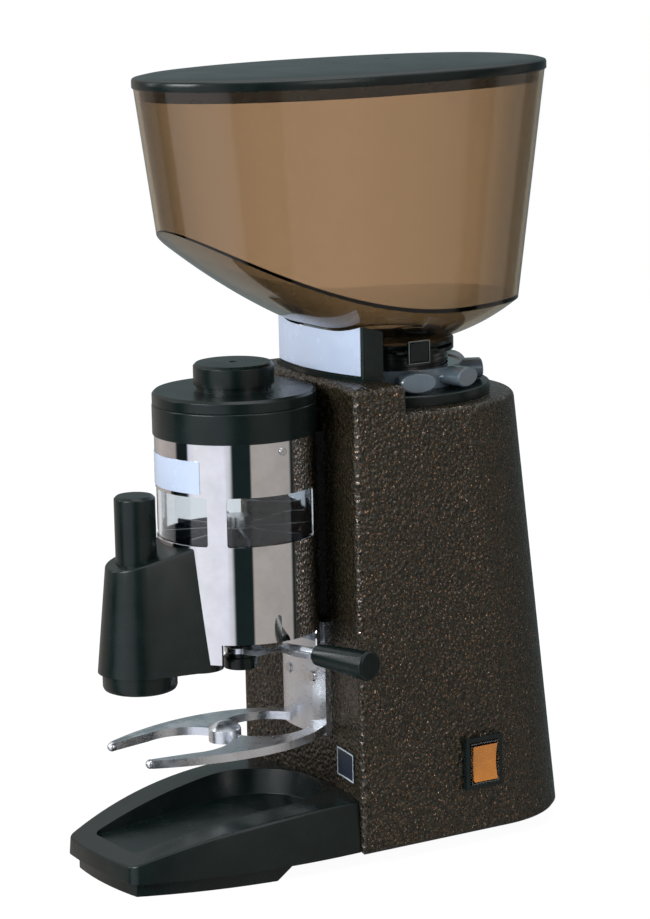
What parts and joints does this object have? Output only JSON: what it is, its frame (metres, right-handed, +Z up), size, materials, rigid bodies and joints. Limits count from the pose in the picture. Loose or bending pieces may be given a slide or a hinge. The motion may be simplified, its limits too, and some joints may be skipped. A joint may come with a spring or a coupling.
{
  "type": "espresso grinder",
  "caption": "Upright electric espresso grinder with a bean hopper, lobed grind ring, lever doser, tamper, holder fork and front tray.",
  "frame": {"origin": "on the table surface, under the vertical axis of mill and motor", "axes": "+Z up; -Y towards the user, where tray, fork and doser are; +X to the right of somebody who faces the grinder's front from behind it, the side with lever and switch"},
  "size_m": [0.2149, 0.3891, 0.5676],
  "materials": {
    "hammer_paint": "dark hammered paint with fine copper speckle",
    "black_sheet": "plain black coated sheet",
    "foot_rubber": "matt black rubber",
    "steel": "plain bright steel",
    "black_plastic": "black moulded plastic, satin",
    "clear_plastic": "clear moulded plastic",
    "amber_switch": "amber translucent rocker",
    "badge_dark": "dark bare plate with a light edge",
    "copper": "enamelled copper winding",
    "cast_aluminium": "cast aluminium, lightly polished",
    "white_plastic": "white plastic",
    "black_metal": "blackened threaded metal",
    "lobe_grey": "light blue-grey moulded plastic",
    "chrome": "mirror chrome plate",
    "wheel_dark": "dark blue-black moulded plastic",
    "smoked_plastic": "smoked brown clear plastic"
  },
  "bodies": {
    "grinder": {"casing": "hammer_paint", "base_plate": "black_sheet", "feet": "foot_rubber", "casing_screws": "steel", "tray": "black_plastic", "switch_bezel": "black_plastic", "switch_boot": "clear_plastic", "badge_plate": "badge_dark", "cable_gland": "black_plastic", "motor_shell": "black_sheet", "stator": "steel", "windings": "copper", "motor_shields": "cast_aluminium", "motor_bearings": "steel", "capacitor": "white_plastic", "terminal_block": "white_plastic", "mill_body": "cast_aluminium", "graduated_disc": "black_plastic", "doser_tube": "chrome", "doser_liner": "clear_plastic", "doser_screws": "steel", "doser_collar": "black_plastic", "doser_floor": "black_plastic", "doser_base": "cast_aluminium", "outlet_spout": "black_plastic", "return_spring": "steel", "doser_saddle": "black_metal", "coffee_chute": "black_plastic", "doser_label": "white_plastic", "tamper_bracket": "black_plastic", "tamper_cap": "black_plastic", "tamper_spring": "steel", "fork": "cast_aluminium", "name_box": "black_plastic", "name_label": "white_plastic"},
    "rotor": {"rotor": "steel", "motor_shaft": "steel", "cooling_fan": "black_plastic", "lower_burr_carrier": "cast_aluminium", "lower_burr": "steel", "burr_nut": "steel"},
    "ring": {"adjusting_ring": "lobe_grey"},
    "carrier": {"upper_burr_carrier": "black_metal", "upper_burr": "steel"},
    "hopper": {"hopper": "smoked_plastic", "gate_collar": "black_plastic"},
    "gate": {"bean_gate": "black_plastic"},
    "cover": {"hopper_lid": "black_plastic"},
    "doser_cover": {"doser_lid": "black_plastic"},
    "lever": {"lever_hub": "black_plastic", "pawl_plate": "steel", "lever_arm": "cast_aluminium", "lever_handle": "black_plastic"},
    "portion": {"portion_wheel": "wheel_dark", "doser_shaft": "steel", "ratchet_wheel": "steel"},
    "tamper": {"tamper_foot": "black_plastic", "tamper_rod": "steel"},
    "rocker": {"switch_rocker": "amber_switch"}
  },
  "joints": [
    {"name": "motor_spin", "type": "hinge", "parent": "grinder", "child": "rotor", "pos_m": [0, 0, 0.28], "axis": [0, 0, 1], "continuous": true},
    {"name": "ring_turn", "type": "hinge", "parent": "grinder", "child": "ring", "pos_m": [0, 0, 0.34], "axis": [0, 0, 1], "range_deg": [-180, 180]},
    {"name": "carrier_lift", "type": "slide", "parent": "grinder", "child": "carrier", "axis": [0, 0, 1], "range_m": [-0.00075, 0.00075]},
    {"name": "hopper_lift", "type": "slide", "parent": "carrier", "child": "hopper", "axis": [0, 0, 1], "range_m": [0, 0.1]},
    {"name": "gate_slide", "type": "slide", "parent": "hopper", "child": "gate", "axis": [1, 0, 0], "range_m": [0, 0.045]},
    {"name": "cover_lift", "type": "slide", "parent": "hopper", "child": "cover", "axis": [0, 0, 1], "range_m": [0, 0.08]},
    {"name": "doser_cover_lift", "type": "slide", "parent": "grinder", "child": "doser_cover", "axis": [0, 0, 1], "range_m": [0, 0.03]},
    {"name": "lever_pull", "type": "hinge", "parent": "grinder", "child": "lever", "pos_m": [0, -0.1354, 0.153], "axis": [0, 0, 1], "range_deg": [-45, 0], "stiffness_Nm_per_rad": 0.6, "springref_deg": 8.59},
    {"name": "portion_turn", "type": "hinge", "parent": "grinder", "child": "portion", "pos_m": [0, -0.1354, 0.22], "axis": [0, 0, 1], "range_deg": [-45, 0]},
    {"name": "tamper_slide", "type": "slide", "parent": "grinder", "child": "tamper", "axis": [0, 0, 1], "range_m": [0, 0.012], "stiffness_N_per_m": 500, "springref_m": -0.01, "deforming": ["tamper_spring"]},
    {"name": "rocker_tilt", "type": "hinge", "parent": "grinder", "child": "rocker", "pos_m": [0.0803, 0.0163, 0.0627], "axis": [0, 1, 0], "range_deg": [-6, 6]}
  ],
  "couplings": [
    {"joint": "ring_turn", "follows": "carrier_lift", "rad_per_m": 4188.8},
    {"joint": "portion_turn", "follows": "lever_pull", "ratio": 1}
  ]
}
